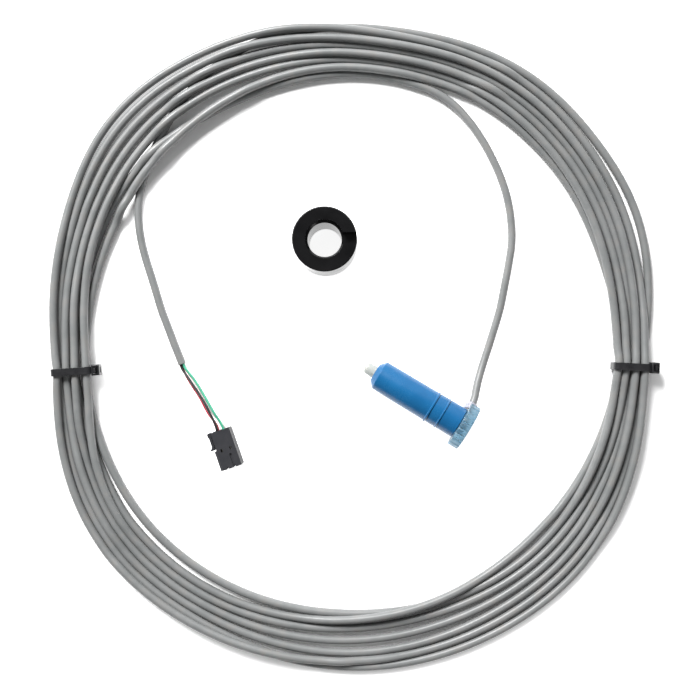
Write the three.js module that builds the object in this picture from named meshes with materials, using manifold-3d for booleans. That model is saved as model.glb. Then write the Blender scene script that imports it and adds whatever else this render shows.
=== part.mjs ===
// A remote ultrasonic distance probe on a long tied cable, with its connector and its loose mounting collar.
// Millimetres, +Z up, everything lying on the plane z = 0. "Bench" is the layout's own plane: the loop of
// cable lies round its middle, and the last lines move the whole layout onto the part's origin.
import * as THREE from "three";
import { mergeVertices } from "three/addons/utils/BufferGeometryUtils.js";
import Module from "manifold-3d";

const wasm = await Module();
wasm.setup();

// ---- driving dimensions ----

const GAP = 0.3; // clearance between pieces that touch in the real object
const HAIR = 0.05; // pieces on the floor keep this much above it
const SIDES = 44; // sides of the larger round parts

const CABLE = { diameter: 4.0, sides: 8 };
const WIRE = { diameter: 1.3, innerDiameter: 1.0, sides: 6 };

// the tied loop of cable, in plan: radius = mean + lift sin a + oval cos 2a + square cos 4a
const LOOP = {
  centre: [0.5, -1.0],
  mean: 144.8,
  lift: 3.5,
  oval: -3.6,
  square: -1.8,
  halfWidth: 14.2, // of the spread bundle
  tiedHalfWidth: 8.0, // of the bundle inside a tie
  height: 7.9, // two layers of cable
  tieLift: 1.45, // a tie's strap passes under the bundle
  pinchAngle: 14, // degrees over which a tie gathers the bundle
  shoulder: { angle: 122, spread: 20, bulge: 5.5 }, // where the loop is laid widest
  squareness: 0.6, // exponent of the section's rounded rectangle
};
const TIES = [
  { name: "cable_tie_right", angle: -3, headSide: 1, slack: 0 },
  { name: "cable_tie_left", angle: 184, headSide: -1, slack: 1.9 }, // its bundle lies wider, inwards
];
const TIE = {
  clearance: 0.5, // beside the bundle
  width: 3.6,
  thickness: 1.0,
  corner: 1.9, // inside the strap's bends
  head: { height: 6.2, width: 5.8, depth: 4.6, below: 1.6 }, // its top under the strap's top
  tail: { length: 3.4, width: 2.4, thickness: 0.9, sunk: 1.0 },
};

// the probe, measured along its axis from the flat of its nose
const PROBE = {
  corner: [14.7, -12.5], // bench place of the nose's chamfer corner
  heading: -31, // degrees, from nose to cap
  chamfer: 2.6,
  noseRadius: 4.7,
  frontRadius: 7.6,
  rearRadius: 7.8,
  length: 48.0,
  wall: 1.4,
  noseWall: 2.0,
};
const RIBS = [
  { at: 32.4, radius: 8.25, width: 1.1 },
  { at: 38.5, radius: 8.1, width: 0.9 },
];
const CAP = {
  radius: 11.5,
  thickness: 5.1,
  flutes: 22,
  fluteDepth: 0.35,
  spigotRadius: 6.0,
  spigotLength: 8.0,
  hollowRadius: 4.7,
  backWall: 1.3,
  grooveAt: 4.2, // of the O-ring, ahead of the flange
};
const TIP = { radius: 3.1, reach: 6.0, domeRise: 0.57, neck: 1.0, shoulderRadius: 5.9, shoulder: 1.6 };
const TIP_SEAL = { radius: 4.5, wire: 0.45, room: 1.3 };
const CAP_SEAL = { radius: 5.64, wire: 0.4 };
const PIEZO = { radius: 4.6, thickness: 1.2, leadRoom: 0.9, leadDiameter: 0.6 };
const PUCK = { radius: 4.0, length: 5.0 };
const SLEEVE = { radius: 6.0, bore: 5.2, length: 7.0 };
const BOARD = { from: 14.2, length: 23.0, width: 10.4, thickness: 1.0, padFrom: -3.6, padPitch: 2.4 };
// what stands on the board: size [across, high, long], where, and on which face
const COMPONENTS = [
  { name: "driver_chip", size: [3.9, 1.5, 4.9], feet: 4, at: [0, 6.5], face: 1, look: "chip" },
  { name: "receiver_chip", size: [3.9, 1.5, 4.9], feet: 4, at: [0, 14.0], face: 1, look: "chip" },
  { name: "step_up_transformer", size: [5.0, 3.4, 5.4], feet: 2, at: [0, 6.6], face: -1, look: "ceramic" },
  { name: "capacitor_a", size: [1.6, 1.4, 3.0], feet: 1, at: [-1.9, 14.5], face: -1, look: "tin" },
  { name: "capacitor_b", size: [1.6, 1.4, 3.0], feet: 1, at: [1.9, 14.5], face: -1, look: "tin" },
];
const FOOT = { thickness: 0.5, reach: 0.7, lift: 0.1 };
// the cable's way out of the cap: distances along it are counted from the probe's axis
const EXIT = {
  behindFlange: 0.8,
  below: 20, // degrees under level
  bore: 2.3,
  jacketEnd: 1.9,
  glandRadius: 3.1,
  glandFrom: 8.4,
  glandTo: 12.2,
};

// the connector: x across, y from the wire end to the mating end, z up
const PLUG = {
  at: [-64.2, -39.6],
  turn: 199.1, // degrees, of its y axis from bench +Y
  length: 19.4,
  height: 9.6,
  right: -4.8,
  left: 6.0,
  bevel: 1.2,
  columns: [2.6, -1.5],
  entries: [1.6, -1.5], // where the wires of each column come in
  approach: 1.5, // and how far behind the housing they turn towards it
  rows: [2.7, 6.9],
  cavity: 3.1,
  latchStep: 4.7, // the housing's side behind the latch
  latchEnd: 9.4,
  notches: { at: [2.2, -1.4], width: 1.0, depth: 1.0 }, // in the mating end
  keyway: { at: -1.3, width: 1.1, length: 7.0, depth: 0.7 },
  windows: { at: [2.2, -2.4], along: 9.8, width: 1.2, length: 1.6, depth: 1.5 }, // over the contacts' lances
};
const LATCH = {
  thickness: 1.3,
  height: 6.2,
  pivotAt: 5.2,
  pivotHalf: 0.5,
  from: -0.2,
  to: 8.6,
  inner: 5.35,
  pad: { rise: 0.35, from: 0.6, length: 1.4 },
  hook: { reach: 1.1, slope: 1.3, tip: 0.5 },
};
const TERMINAL = { size: 2.4, sheet: 0.35, from: 3.6, length: 12.5 };

const COLLAR = {
  at: [-12.1, 52.6],
  radius: 15.5,
  height: 27.0,
  bore: 8.15,
  counterbore: 9.2,
  counterboreDepth: 3.6,
  edge: 0.5,
  groove: { width: 5.4, depth: 4.6, offset: 0.5 },
};

// Hand-laid routes of the two free stretches of cable, in bench millimetres.
const CABLE_REST = CABLE.diameter / 2 + HAIR;
const SENSOR_LEAD = [
  [50.6, 123.7, 2.05],
  [58.1, 116.2, 2.05],
  [66.1, 105.1, 2.05],
  [71.6, 95.1, 2.05],
  [75.9, 85.1, 2.05],
  [78.9, 75.1, 2.05],
  [80.6, 64.1, 2.05],
  [80.9, 54.1, 2.05],
  [79.4, 43.1, 2.05],
  [77.4, 32.5, 2.05],
  [75.1, 21.0, 2.05],
  [71.9, 10.0, 2.05],
  [68.9, 0.5, 2.2],
  [66.0, -8.0, 3.1],
  [63.5, -16.0, 4.9],
];
const PLUG_LEAD = [
  [-105.5, 76.8, 2.05],
  [-105.9, 70.1, 2.05],
  [-105.6, 62.1, 2.05],
  [-104.4, 54.1, 2.05],
  [-102.4, 46.1, 2.05],
  [-99.9, 38.1, 2.05],
  [-97.4, 30.0, 2.05],
  [-94.4, 20.0, 2.05],
  [-91.4, 12.0, 2.05],
  [-87.4, 1.5, 2.05],
  [-84.0, -7.0, 2.05],
];
const CONDUCTORS = [
  {
    colour: "black",
    column: 0,
    row: 1,
    via: [[-80.0, -14.9, 3.8], [-74.1, -23.3, 5.4], [-69.7, -30.9, 6.7]],
  },
  {
    colour: "red",
    column: 0,
    row: 0,
    via: [[-80.9, -15.0, 1.6], [-75.4, -23.5, 1.9], [-71.0, -31.5, 2.5]],
  },
  {
    colour: "white",
    column: 1,
    row: 0,
    via: [[-78.9, -14.4, 1.5], [-73.3, -23.1, 1.8], [-68.9, -31.2, 2.5]],
  },
  {
    colour: "green",
    column: 1,
    row: 1,
    via: [[-77.9, -14.4, 3.6], [-72.3, -22.9, 5.4], [-67.6, -30.7, 6.8]],
  },
];

const MATERIALS = {
  blue: plain(0x2f6fb5, 0.35),
  clear: plain(0xcfd9dc, 0.15),
  grey: plain(0x9a9c9a, 0.55),
  black: plain(0x1c1c1d, 0.4),
  redWire: plain(0xa3252c, 0.45),
  blackWire: plain(0x1d1b1b, 0.45),
  whiteWire: plain(0xe9e9e6, 0.45),
  greenWire: plain(0x2c9a72, 0.45),
  rubber: plain(0x232323, 0.8),
  ceramic: plain(0xb9b2a3, 0.6),
  copper: plain(0xc79a5b, 0.3, 1),
  board: plain(0x1f5a3a, 0.5),
  chip: plain(0x18181a, 0.5),
  tin: plain(0xc9ccd0, 0.3, 1),
};

// ---- helpers ----

function plain(color, roughness, metalness = 0) {
  return new THREE.MeshStandardMaterial({ color, roughness, metalness });
}

function node(name, geometry, material) {
  const mesh = new THREE.Mesh(geometry, material);
  mesh.name = name;
  return mesh;
}

// A geometry as a manifold solid, and back.
function solid(geometry) {
  const bare = geometry.clone();
  bare.deleteAttribute("normal");
  bare.deleteAttribute("uv");
  const merged = mergeVertices(bare, 1e-4);
  const shape = new wasm.Mesh({
    numProp: 3,
    vertProperties: new Float32Array(merged.attributes.position.array),
    triVerts: new Uint32Array(merged.index.array),
  });
  return new wasm.Manifold(shape);
}

function geometryOf(manifold) {
  const mesh = manifold.getMesh();
  const geometry = new THREE.BufferGeometry();
  geometry.setAttribute("position", new THREE.BufferAttribute(mesh.vertProperties, 3));
  geometry.setIndex(new THREE.BufferAttribute(mesh.triVerts, 1));
  return geometry;
}

// A profile of [radius, height] points turned about +Z.
function turned(profile, sides = SIDES) {
  const points = profile.map(([radius, height]) => new THREE.Vector2(radius, height));
  return new THREE.LatheGeometry(points, sides).rotateX(Math.PI / 2);
}

function disc(radius, from, to, sides = SIDES) {
  return turned([[0, from], [radius, from], [radius, to], [0, to]], sides);
}

// A wall between two radii, closed on itself.
function ring(inner, outer, from, to, sides = SIDES) {
  return turned([[inner, from], [outer, from], [outer, to], [inner, to], [inner, from]], sides);
}

function block(sizeX, sizeY, sizeZ, x, y, z) {
  return new THREE.BoxGeometry(sizeX, sizeY, sizeZ).translate(x, y, z);
}

// A straight bar with a round section of the given radius, along a direction from a start point.
function bar(radius, length, start, direction, sides) {
  const turn = new THREE.Quaternion().setFromUnitVectors(new THREE.Vector3(0, 0, 1), direction);
  return disc(radius, 0, length, sides).applyQuaternion(turn).translate(start.x, start.y, start.z);
}

// A round tube of solid section along a smooth curve through points.
function cord(points, diameter, sides, steps) {
  const path = new THREE.CatmullRomCurve3(points, false, "centripetal");
  const section = [];
  for (let i = 0; i < sides; i++) {
    const angle = (2 * Math.PI * (i + 0.5)) / sides;
    section.push(new THREE.Vector2(Math.cos(angle), Math.sin(angle)).multiplyScalar(diameter / 2));
  }
  return new THREE.ExtrudeGeometry(new THREE.Shape(section), { steps, extrudePath: path });
}

function vectors(points) {
  return points.map((point) => new THREE.Vector3(...point));
}

function degrees(angle) {
  return THREE.MathUtils.degToRad(angle);
}

// ---- the probe, along local +Z from its nose ----

const exitDirection = new THREE.Vector3(Math.cos(degrees(EXIT.below)), -Math.sin(degrees(EXIT.below)), 0);
const flangeFrom = PROBE.length + GAP;
const exitStart = new THREE.Vector3(0, 0, flangeFrom + EXIT.behindFlange);
const cableBore = solid(bar(EXIT.bore, CAP.radius + 3, exitStart, exitDirection, 24));

function barrel() {
  const inner = PROBE.frontRadius - PROBE.wall;
  const outside = [[PROBE.noseRadius, 0], [PROBE.frontRadius, PROBE.chamfer]];
  for (const rib of RIBS) {
    const radius = PROBE.frontRadius + ((PROBE.rearRadius - PROBE.frontRadius) * rib.at) / PROBE.length;
    outside.push([radius, rib.at - rib.width / 2], [rib.radius, rib.at - rib.width / 4]);
    outside.push([rib.radius, rib.at + rib.width / 4], [radius, rib.at + rib.width / 2]);
  }
  const hole = TIP.radius + GAP;
  const profile = [
    [hole, 0],
    ...outside,
    [PROBE.rearRadius, PROBE.length],
    [inner, PROBE.length],
    [inner, PROBE.noseWall],
    [hole, PROBE.noseWall],
    [hole, 0],
  ];
  return node("probe_barrel", geometryOf(solid(turned(profile)).subtract(cableBore)), MATERIALS.blue);
}

function tip() {
  const dome = [];
  const domeRadius = TIP.radius * 0.95;
  const domeRise = TIP.radius * TIP.domeRise;
  const domeSteps = 5;
  for (let step = 0; step <= domeSteps; step++) {
    const angle = (Math.PI / 2) * (step / domeSteps);
    dome.push([domeRadius * Math.sin(angle), -TIP.reach + domeRise * (1 - Math.cos(angle))]);
  }
  const shoulderFrom = PROBE.noseWall + TIP_SEAL.room;
  const profile = [
    ...dome,
    [TIP.radius, -TIP.neck],
    [TIP.radius, shoulderFrom],
    [TIP.shoulderRadius, shoulderFrom],
    [TIP.shoulderRadius, shoulderFrom + TIP.shoulder],
    [0, shoulderFrom + TIP.shoulder],
  ];
  return node("acoustic_tip", turned(profile, 32), MATERIALS.clear);
}

function oRing(name, { radius, wire }, at) {
  const geometry = new THREE.TorusGeometry(radius, wire, 8, 30).translate(0, 0, at);
  return node(name, geometry, MATERIALS.rubber);
}

function transducer() {
  const group = new THREE.Group();
  const piezoFrom = PROBE.noseWall + TIP_SEAL.room + TIP.shoulder + GAP;
  const puckFrom = piezoFrom + PIEZO.thickness + PIEZO.leadRoom;
  const element = disc(PIEZO.radius, piezoFrom, piezoFrom + PIEZO.thickness, 32);
  group.add(node("piezo_disc", element, MATERIALS.ceramic));
  group.add(node("backing_puck", disc(PUCK.radius, puckFrom, puckFrom + PUCK.length, 32), MATERIALS.rubber));
  const sleeve = ring(SLEEVE.bore, SLEEVE.radius, piezoFrom, piezoFrom + SLEEVE.length, 32);
  group.add(node("transducer_sleeve", sleeve, MATERIALS.rubber));
  for (const [name, side] of [["piezo_lead_a", 1], ["piezo_lead_b", -1]]) {
    const route = [
      [side * 4.3, 0, piezoFrom + PIEZO.thickness + 0.25],
      [side * 4.6, 0.2, puckFrom + 1.5],
      [side * 4.6, 0.4, puckFrom + PUCK.length],
      [side * 4.2, 1.2, BOARD.from + 0.3],
      [side * 3.9, 1.15, BOARD.from + 2.2],
    ];
    const lead = cord(vectors(route), PIEZO.leadDiameter, WIRE.sides, 10);
    group.add(node(name, lead, MATERIALS.copper));
  }
  return group;
}

// A moulded component: a body with small feet along its two long sides, standing on the board.
function component({ name, size, feet, at, face, look }) {
  const [wide, high, long] = size;
  const [across, along] = at;
  const floor = BOARD.thickness / 2 + FOOT.lift;
  const middle = BOARD.from + along;
  const body = block(wide, high, long, across, face * (floor + FOOT.thickness / 2 + high / 2), middle);
  let shape = solid(body);
  for (let i = 0; i < feet; i++) {
    const place = middle + long * ((i + 0.5) / feet - 0.5);
    const span = wide + 2 * FOOT.reach;
    const foot = block(span, FOOT.thickness, FOOT.thickness, across, face * (floor + 0.2), place);
    shape = shape.add(solid(foot));
  }
  return node(name, geometryOf(shape), MATERIALS[look]);
}

function electronics() {
  const group = new THREE.Group();
  const middle = BOARD.from + BOARD.length / 2;
  const board = block(BOARD.width, BOARD.thickness, BOARD.length, 0, 0, middle);
  group.add(node("circuit_board", board, MATERIALS.board), ...COMPONENTS.map(component));
  return group;
}

// The four conductors run from the rear of the board into a square bundle that meets the cable's end.
function innerWires() {
  const group = new THREE.Group();
  const across = new THREE.Vector3(-exitDirection.y, exitDirection.x, 0);
  const rear = BOARD.from + BOARD.length;
  CONDUCTORS.forEach(({ colour }, index) => {
    const far = index < 2; // the two that turn the outer corner
    const upper = index % 2 === 1;
    const pad = BOARD.padFrom + BOARD.padPitch * index;
    const end = exitStart.clone().addScaledVector(exitDirection, EXIT.jacketEnd - 0.35);
    end.addScaledVector(across, upper ? 0.7 : -0.7);
    end.z += far ? 0.7 : -0.7;
    const turnIn = end.clone().addScaledVector(exitDirection, far ? -3.0 : -2.1);
    turnIn.z -= 0.5;
    const points = [
      new THREE.Vector3(pad, 1.3, rear - 2.4),
      new THREE.Vector3(pad, 1.3, rear + 0.6),
      new THREE.Vector3(-2.9 + 1.6 * index, 1.3, rear + 4.5),
      new THREE.Vector3(far ? -3.0 : -0.8, upper ? 1.25 : -0.45, rear + 8.6),
      turnIn,
      end,
    ];
    const geometry = cord(points, WIRE.innerDiameter, WIRE.sides, 14);
    group.add(node("inner_wire_" + colour, geometry, MATERIALS[colour + "Wire"]));
  });
  return group;
}

function endCap() {
  const outline = [];
  const count = CAP.flutes * 4;
  for (let i = 0; i < count; i++) {
    const angle = (2 * Math.PI * i) / count;
    const radius = CAP.radius - (i % 4 === 0 ? CAP.fluteDepth : 0);
    outline.push(new THREE.Vector2(radius * Math.cos(angle), radius * Math.sin(angle)));
  }
  const flat = { depth: CAP.thickness, bevelEnabled: false };
  const flange = new THREE.ExtrudeGeometry(new THREE.Shape(outline), flat).translate(0, 0, flangeFrom);
  const groove = flangeFrom - CAP.grooveAt;
  const spigot = turned([
    [0, flangeFrom - CAP.spigotLength],
    [CAP.spigotRadius - 0.4, flangeFrom - CAP.spigotLength],
    [CAP.spigotRadius, flangeFrom - CAP.spigotLength + 0.6],
    [CAP.spigotRadius, groove - 0.8],
    [CAP.spigotRadius - 0.9, groove - 0.8],
    [CAP.spigotRadius - 0.9, groove + 0.8],
    [CAP.spigotRadius, groove + 0.8],
    [CAP.spigotRadius, flangeFrom + 1],
    [0, flangeFrom + 1],
  ], 36);
  const hollowTo = flangeFrom + CAP.thickness - CAP.backWall;
  const hollow = disc(CAP.hollowRadius, flangeFrom - CAP.spigotLength - 1, hollowTo, 32);
  const seat = exitStart.clone().addScaledVector(exitDirection, EXIT.glandFrom - GAP);
  const glandSeat = bar(EXIT.glandRadius + GAP, 6, seat, exitDirection, 24);
  const shape = solid(flange).add(solid(spigot)).subtract(solid(hollow)).subtract(cableBore);
  return node("end_cap", geometryOf(shape.subtract(solid(glandSeat))), MATERIALS.clear);
}

function gland() {
  const length = EXIT.glandTo - EXIT.glandFrom;
  const edge = 0.5;
  const bush = turned([
    [EXIT.bore, 0],
    [EXIT.glandRadius, 0],
    [EXIT.glandRadius, length - edge],
    [EXIT.glandRadius - edge, length],
    [EXIT.bore, length],
    [EXIT.bore, 0],
  ], 24);
  const turn = new THREE.Quaternion().setFromUnitVectors(new THREE.Vector3(0, 0, 1), exitDirection);
  const start = exitStart.clone().addScaledVector(exitDirection, EXIT.glandFrom);
  bush.applyQuaternion(turn).translate(start.x, start.y, start.z);
  return node("cable_gland", bush, MATERIALS.clear);
}

// The probe lies on its nose's chamfer corner and on the edge of its cap.
function probe() {
  const group = new THREE.Group();
  group.add(barrel(), tip(), transducer(), electronics(), innerWires(), endCap(), gland());
  group.add(oRing("tip_seal", TIP_SEAL, PROBE.noseWall + TIP_SEAL.room / 2));
  group.add(oRing("end_cap_seal", CAP_SEAL, flangeFrom - CAP.grooveAt));
  const rise = Math.atan2(CAP.radius - PROBE.frontRadius, flangeFrom - PROBE.chamfer);
  const heading = degrees(PROBE.heading);
  const flat = new THREE.Vector3(Math.cos(heading), Math.sin(heading), 0);
  const axis = flat.clone().multiplyScalar(Math.cos(rise)).setZ(Math.sin(rise));
  const side = new THREE.Vector3(-flat.y, flat.x, 0);
  group.setRotationFromMatrix(new THREE.Matrix4().makeBasis(side, axis.clone().cross(side), axis));
  const nose = axis.clone().multiplyScalar(-PROBE.chamfer);
  group.position.set(PROBE.corner[0] + nose.x, PROBE.corner[1] + nose.y, 0);
  group.updateMatrixWorld(true);
  group.position.z = HAIR - new THREE.Box3().setFromObject(group, true).min.z;
  group.updateMatrixWorld(true);
  return group;
}

// ---- the cable ----

// How far a direction round the loop is inside a tie: 1 in its middle, 0 away from it.
function pinch(angle) {
  let most = 0;
  for (const tie of TIES) {
    const away = ((THREE.MathUtils.radToDeg(angle) - tie.angle + 540) % 360) - 180;
    most = Math.max(most, Math.exp(-((away / LOOP.pinchAngle) ** 2)));
  }
  return most;
}

function loopRadius(angle) {
  return (
    LOOP.mean +
    LOOP.lift * Math.sin(angle) +
    LOOP.oval * Math.cos(2 * angle) +
    LOOP.square * Math.cos(4 * angle)
  );
}

function shoulder(angle) {
  const away = THREE.MathUtils.radToDeg(angle) - LOOP.shoulder.angle;
  return LOOP.shoulder.bulge * Math.exp(-((away / LOOP.shoulder.spread) ** 2));
}

// The tied loop as one ring: its section is a rounded rectangle that narrows and lifts at the ties.
function coil() {
  const geometry = new THREE.TorusGeometry(100, 1, 12, 84);
  const place = geometry.attributes.position;
  for (let i = 0; i < place.count; i++) {
    const [x, y, z] = [place.getX(i), place.getY(i), place.getZ(i)];
    const angle = (Math.atan2(y, x) + 2 * Math.PI) % (2 * Math.PI);
    const out = Math.hypot(x, y) - 100;
    const tied = pinch(angle);
    const half = LOOP.halfWidth + (LOOP.tiedHalfWidth - LOOP.halfWidth) * tied;
    const reach = out > 0 ? half + shoulder(angle) : half;
    const radius = loopRadius(angle) + Math.sign(out) * reach * Math.abs(out) ** LOOP.squareness;
    const lift = HAIR + LOOP.tieLift * tied + LOOP.height / 2;
    const height = lift + (LOOP.height / 2) * Math.sign(z) * Math.abs(z) ** LOOP.squareness;
    place.setXYZ(i, radius * Math.cos(angle), radius * Math.sin(angle), height);
  }
  geometry.translate(LOOP.centre[0], LOOP.centre[1], 0);
  return node("cable_coil", geometry, MATERIALS.grey);
}

function roundedBox(from, to, low, high, corner) {
  const shape = new THREE.Shape();
  const turns = [[to, high, 0], [from, high, 1], [from, low, 2], [to, low, 3]];
  for (const [side, level, quarter] of turns) {
    const x = side === to ? to - corner : from + corner;
    const y = level === high ? high - corner : low + corner;
    shape.absarc(x, y, corner, (quarter * Math.PI) / 2, ((quarter + 1) * Math.PI) / 2);
  }
  return shape;
}

// A cable tie round the gathered bundle: strap, head and cut tail. Local x points out of the loop.
function cableTie({ name, angle, headSide, slack }) {
  const { thickness, width, corner, head, tail } = TIE;
  const outside = LOOP.tiedHalfWidth + TIE.clearance;
  const inside = -outside - slack;
  const low = HAIR + thickness;
  const high = HAIR + LOOP.tieLift + LOOP.height + GAP;
  const rounding = corner + thickness;
  const outer = roundedBox(inside - thickness, outside + thickness, HAIR, high + thickness, rounding);
  outer.holes.push(roundedBox(inside, outside, low, high, corner));
  const strap = new THREE.ExtrudeGeometry(outer, { depth: width, bevelEnabled: false, curveSegments: 3 });
  strap.rotateX(Math.PI / 2).translate(0, width / 2, 0);
  const headX = (headSide > 0 ? outside : inside) + headSide * ((thickness + head.depth) / 2);
  const headTop = high + thickness - head.below;
  const body = block(head.depth, head.width, head.height, headX, 0, headTop - head.height / 2);
  const tailMiddle = headTop - tail.sunk + tail.length / 2;
  const end = block(tail.thickness, tail.width, tail.length, headX, 0, tailMiddle);
  const geometry = geometryOf(solid(strap).add(solid(body)).add(solid(end)));
  const tie = node(name, geometry, MATERIALS.black);
  const turn = degrees(angle);
  const radius = loopRadius(turn);
  tie.position.set(LOOP.centre[0] + radius * Math.cos(turn), LOOP.centre[1] + radius * Math.sin(turn), 0);
  tie.rotation.z = turn;
  return tie;
}

function sensorLead(probeGroup) {
  const into = [EXIT.glandTo + 1, EXIT.glandFrom, EXIT.jacketEnd];
  const inside = into.map((reach) => {
    const point = exitStart.clone().addScaledVector(exitDirection, reach);
    return probeGroup.localToWorld(point);
  });
  const geometry = cord([...vectors(SENSOR_LEAD), ...inside], CABLE.diameter, CABLE.sides, 34);
  return node("cable_sensor_lead", geometry, MATERIALS.grey);
}

function plugLead() {
  return node("cable_plug_lead", cord(vectors(PLUG_LEAD), CABLE.diameter, CABLE.sides, 18), MATERIALS.grey);
}

function conductors(plugGroup) {
  const last = new THREE.Vector3(...PLUG_LEAD.at(-1));
  const direction = last.clone().sub(new THREE.Vector3(...PLUG_LEAD.at(-2))).normalize();
  const across = new THREE.Vector3(-direction.y, direction.x, 0);
  return CONDUCTORS.map(({ colour, column, row, via }) => {
    const start = last.clone().addScaledVector(direction, GAP);
    start.addScaledVector(across, column ? 0.75 : -0.75).setZ(CABLE_REST + (row ? 0.75 : -0.75));
    const lead = start.clone().addScaledVector(direction, 2.0);
    const height = PLUG.rows[row] + HAIR;
    const mouth = new THREE.Vector3(PLUG.entries[column], -PLUG.approach, height);
    const crimp = new THREE.Vector3(PLUG.columns[column], TERMINAL.from - GAP, height);
    const cavity = [mouth, crimp].map((spot) => plugGroup.localToWorld(spot));
    const geometry = cord([start, lead, ...vectors(via), ...cavity], WIRE.diameter, WIRE.sides, 18);
    return node("wire_" + colour, geometry, MATERIALS[colour + "Wire"]);
  });
}

// ---- the connector ----

function housing() {
  const section = new THREE.Shape([
    new THREE.Vector2(PLUG.right, 0),
    new THREE.Vector2(PLUG.left - PLUG.bevel, 0),
    new THREE.Vector2(PLUG.left, PLUG.bevel),
    new THREE.Vector2(PLUG.left, PLUG.height - PLUG.bevel),
    new THREE.Vector2(PLUG.left - PLUG.bevel, PLUG.height),
    new THREE.Vector2(PLUG.right, PLUG.height),
  ]);
  const body = new THREE.ExtrudeGeometry(section, { depth: PLUG.length, bevelEnabled: false });
  body.rotateX(Math.PI / 2).translate(0, PLUG.length, 0);
  const { notches, keyway, windows, length, height } = PLUG;
  const through = 3 * height;
  const cuts = [block(4, 2 * PLUG.latchEnd, through, PLUG.latchStep + 2, 0, height / 2)];
  for (const x of notches.at) {
    cuts.push(block(notches.width, 2 * notches.depth, through, x, length, height / 2));
  }
  cuts.push(block(keyway.width, 2 * keyway.length, 2 * keyway.depth, keyway.at, length, height));
  for (const x of windows.at) {
    cuts.push(block(windows.width, windows.length, 2 * windows.depth, x, windows.along, height));
  }
  for (const x of PLUG.columns) {
    for (const z of PLUG.rows) cuts.push(block(PLUG.cavity, 3 * PLUG.length, PLUG.cavity, x, 0, z));
  }
  let shape = solid(body);
  for (const cut of cuts) shape = shape.subtract(solid(cut));
  return node("connector_housing", geometryOf(shape), MATERIALS.black);
}

// The rocker latch: a lever with a thumb pad at the wire end, a hook at the other and a pivot web between.
function latch() {
  const { inner, thickness, from, to, pivotAt, pivotHalf, pad, hook } = LATCH;
  const outer = inner + thickness;
  const padTop = outer + pad.rise;
  const hookTop = outer + hook.reach;
  const web = PLUG.latchStep + GAP;
  const lever = new THREE.Shape([
    new THREE.Vector2(inner, from),
    new THREE.Vector2(outer, from),
    new THREE.Vector2(padTop, from + pad.from),
    new THREE.Vector2(padTop, from + pad.from + pad.length),
    new THREE.Vector2(outer, from + 2 * pad.from + pad.length),
    new THREE.Vector2(outer, to - hook.tip - hook.slope),
    new THREE.Vector2(hookTop, to - hook.tip),
    new THREE.Vector2(hookTop, to),
    new THREE.Vector2(inner, to),
    new THREE.Vector2(inner, pivotAt + pivotHalf),
    new THREE.Vector2(web, pivotAt + 0.6 * pivotHalf),
    new THREE.Vector2(web, pivotAt - 0.6 * pivotHalf),
    new THREE.Vector2(inner, pivotAt - pivotHalf),
  ]);
  const geometry = new THREE.ExtrudeGeometry(lever, { depth: LATCH.height, bevelEnabled: false });
  geometry.translate(0, 0, (PLUG.height - LATCH.height) / 2);
  return node("connector_latch", geometry, MATERIALS.black);
}

// A folded sheet contact: a square tube with a slit along its top.
function terminal({ colour, column, row }) {
  const half = TERMINAL.size / 2;
  const inner = half - TERMINAL.sheet;
  const slit = 0.25;
  const section = new THREE.Shape([
    new THREE.Vector2(slit, half),
    new THREE.Vector2(slit, inner),
    new THREE.Vector2(inner, inner),
    new THREE.Vector2(inner, -inner),
    new THREE.Vector2(-inner, -inner),
    new THREE.Vector2(-inner, inner),
    new THREE.Vector2(-slit, inner),
    new THREE.Vector2(-slit, half),
    new THREE.Vector2(-half, half),
    new THREE.Vector2(-half, -half),
    new THREE.Vector2(half, -half),
    new THREE.Vector2(half, half),
  ]);
  const geometry = new THREE.ExtrudeGeometry(section, { depth: TERMINAL.length, bevelEnabled: false });
  geometry.rotateX(Math.PI / 2).translate(0, TERMINAL.from + TERMINAL.length, 0);
  geometry.translate(PLUG.columns[column], 0, PLUG.rows[row]);
  return node("terminal_" + colour, geometry, MATERIALS.copper);
}

function connector() {
  const group = new THREE.Group();
  group.add(housing(), latch(), ...CONDUCTORS.map(terminal));
  group.position.set(PLUG.at[0], PLUG.at[1], HAIR);
  group.rotation.z = degrees(PLUG.turn);
  group.updateMatrixWorld(true);
  return group;
}

// ---- the loose mounting collar ----

function collar() {
  const { radius, height, bore, counterbore, counterboreDepth, edge, groove } = COLLAR;
  const body = turned([
    [bore, 0],
    [radius - edge, 0],
    [radius, edge],
    [radius, height - edge],
    [radius - edge, height],
    [counterbore, height],
    [counterbore, height - counterboreDepth],
    [bore, height - counterboreDepth - 0.6],
    [bore, 0],
  ], 48);
  const channel = block(2 * radius, groove.width, 2 * groove.depth, radius, groove.offset, height);
  const mesh = node("mounting_collar", geometryOf(solid(body).subtract(solid(channel))), MATERIALS.black);
  mesh.position.set(COLLAR.at[0], COLLAR.at[1], 0);
  return mesh;
}

// ---- the whole layout, moved so that the probe and the collar stand centred on the origin ----

const bench = new THREE.Group();
const probeGroup = probe();
const plugGroup = connector();
const collarMesh = collar();
bench.add(probeGroup, plugGroup, collarMesh, coil(), sensorLead(probeGroup), plugLead());
bench.add(...TIES.map(cableTie), ...conductors(plugGroup));

const standing = new THREE.Box3().setFromObject(probeGroup, true);
standing.union(new THREE.Box3().setFromObject(collarMesh, true));
const centre = standing.getCenter(new THREE.Vector3());
bench.position.set(-centre.x, -centre.y, 0);

const part = new THREE.Group();
part.add(bench);

export default part;
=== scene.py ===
import math

import bmesh
import bpy
import numpy as np
from mathutils import Matrix, Vector


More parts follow.
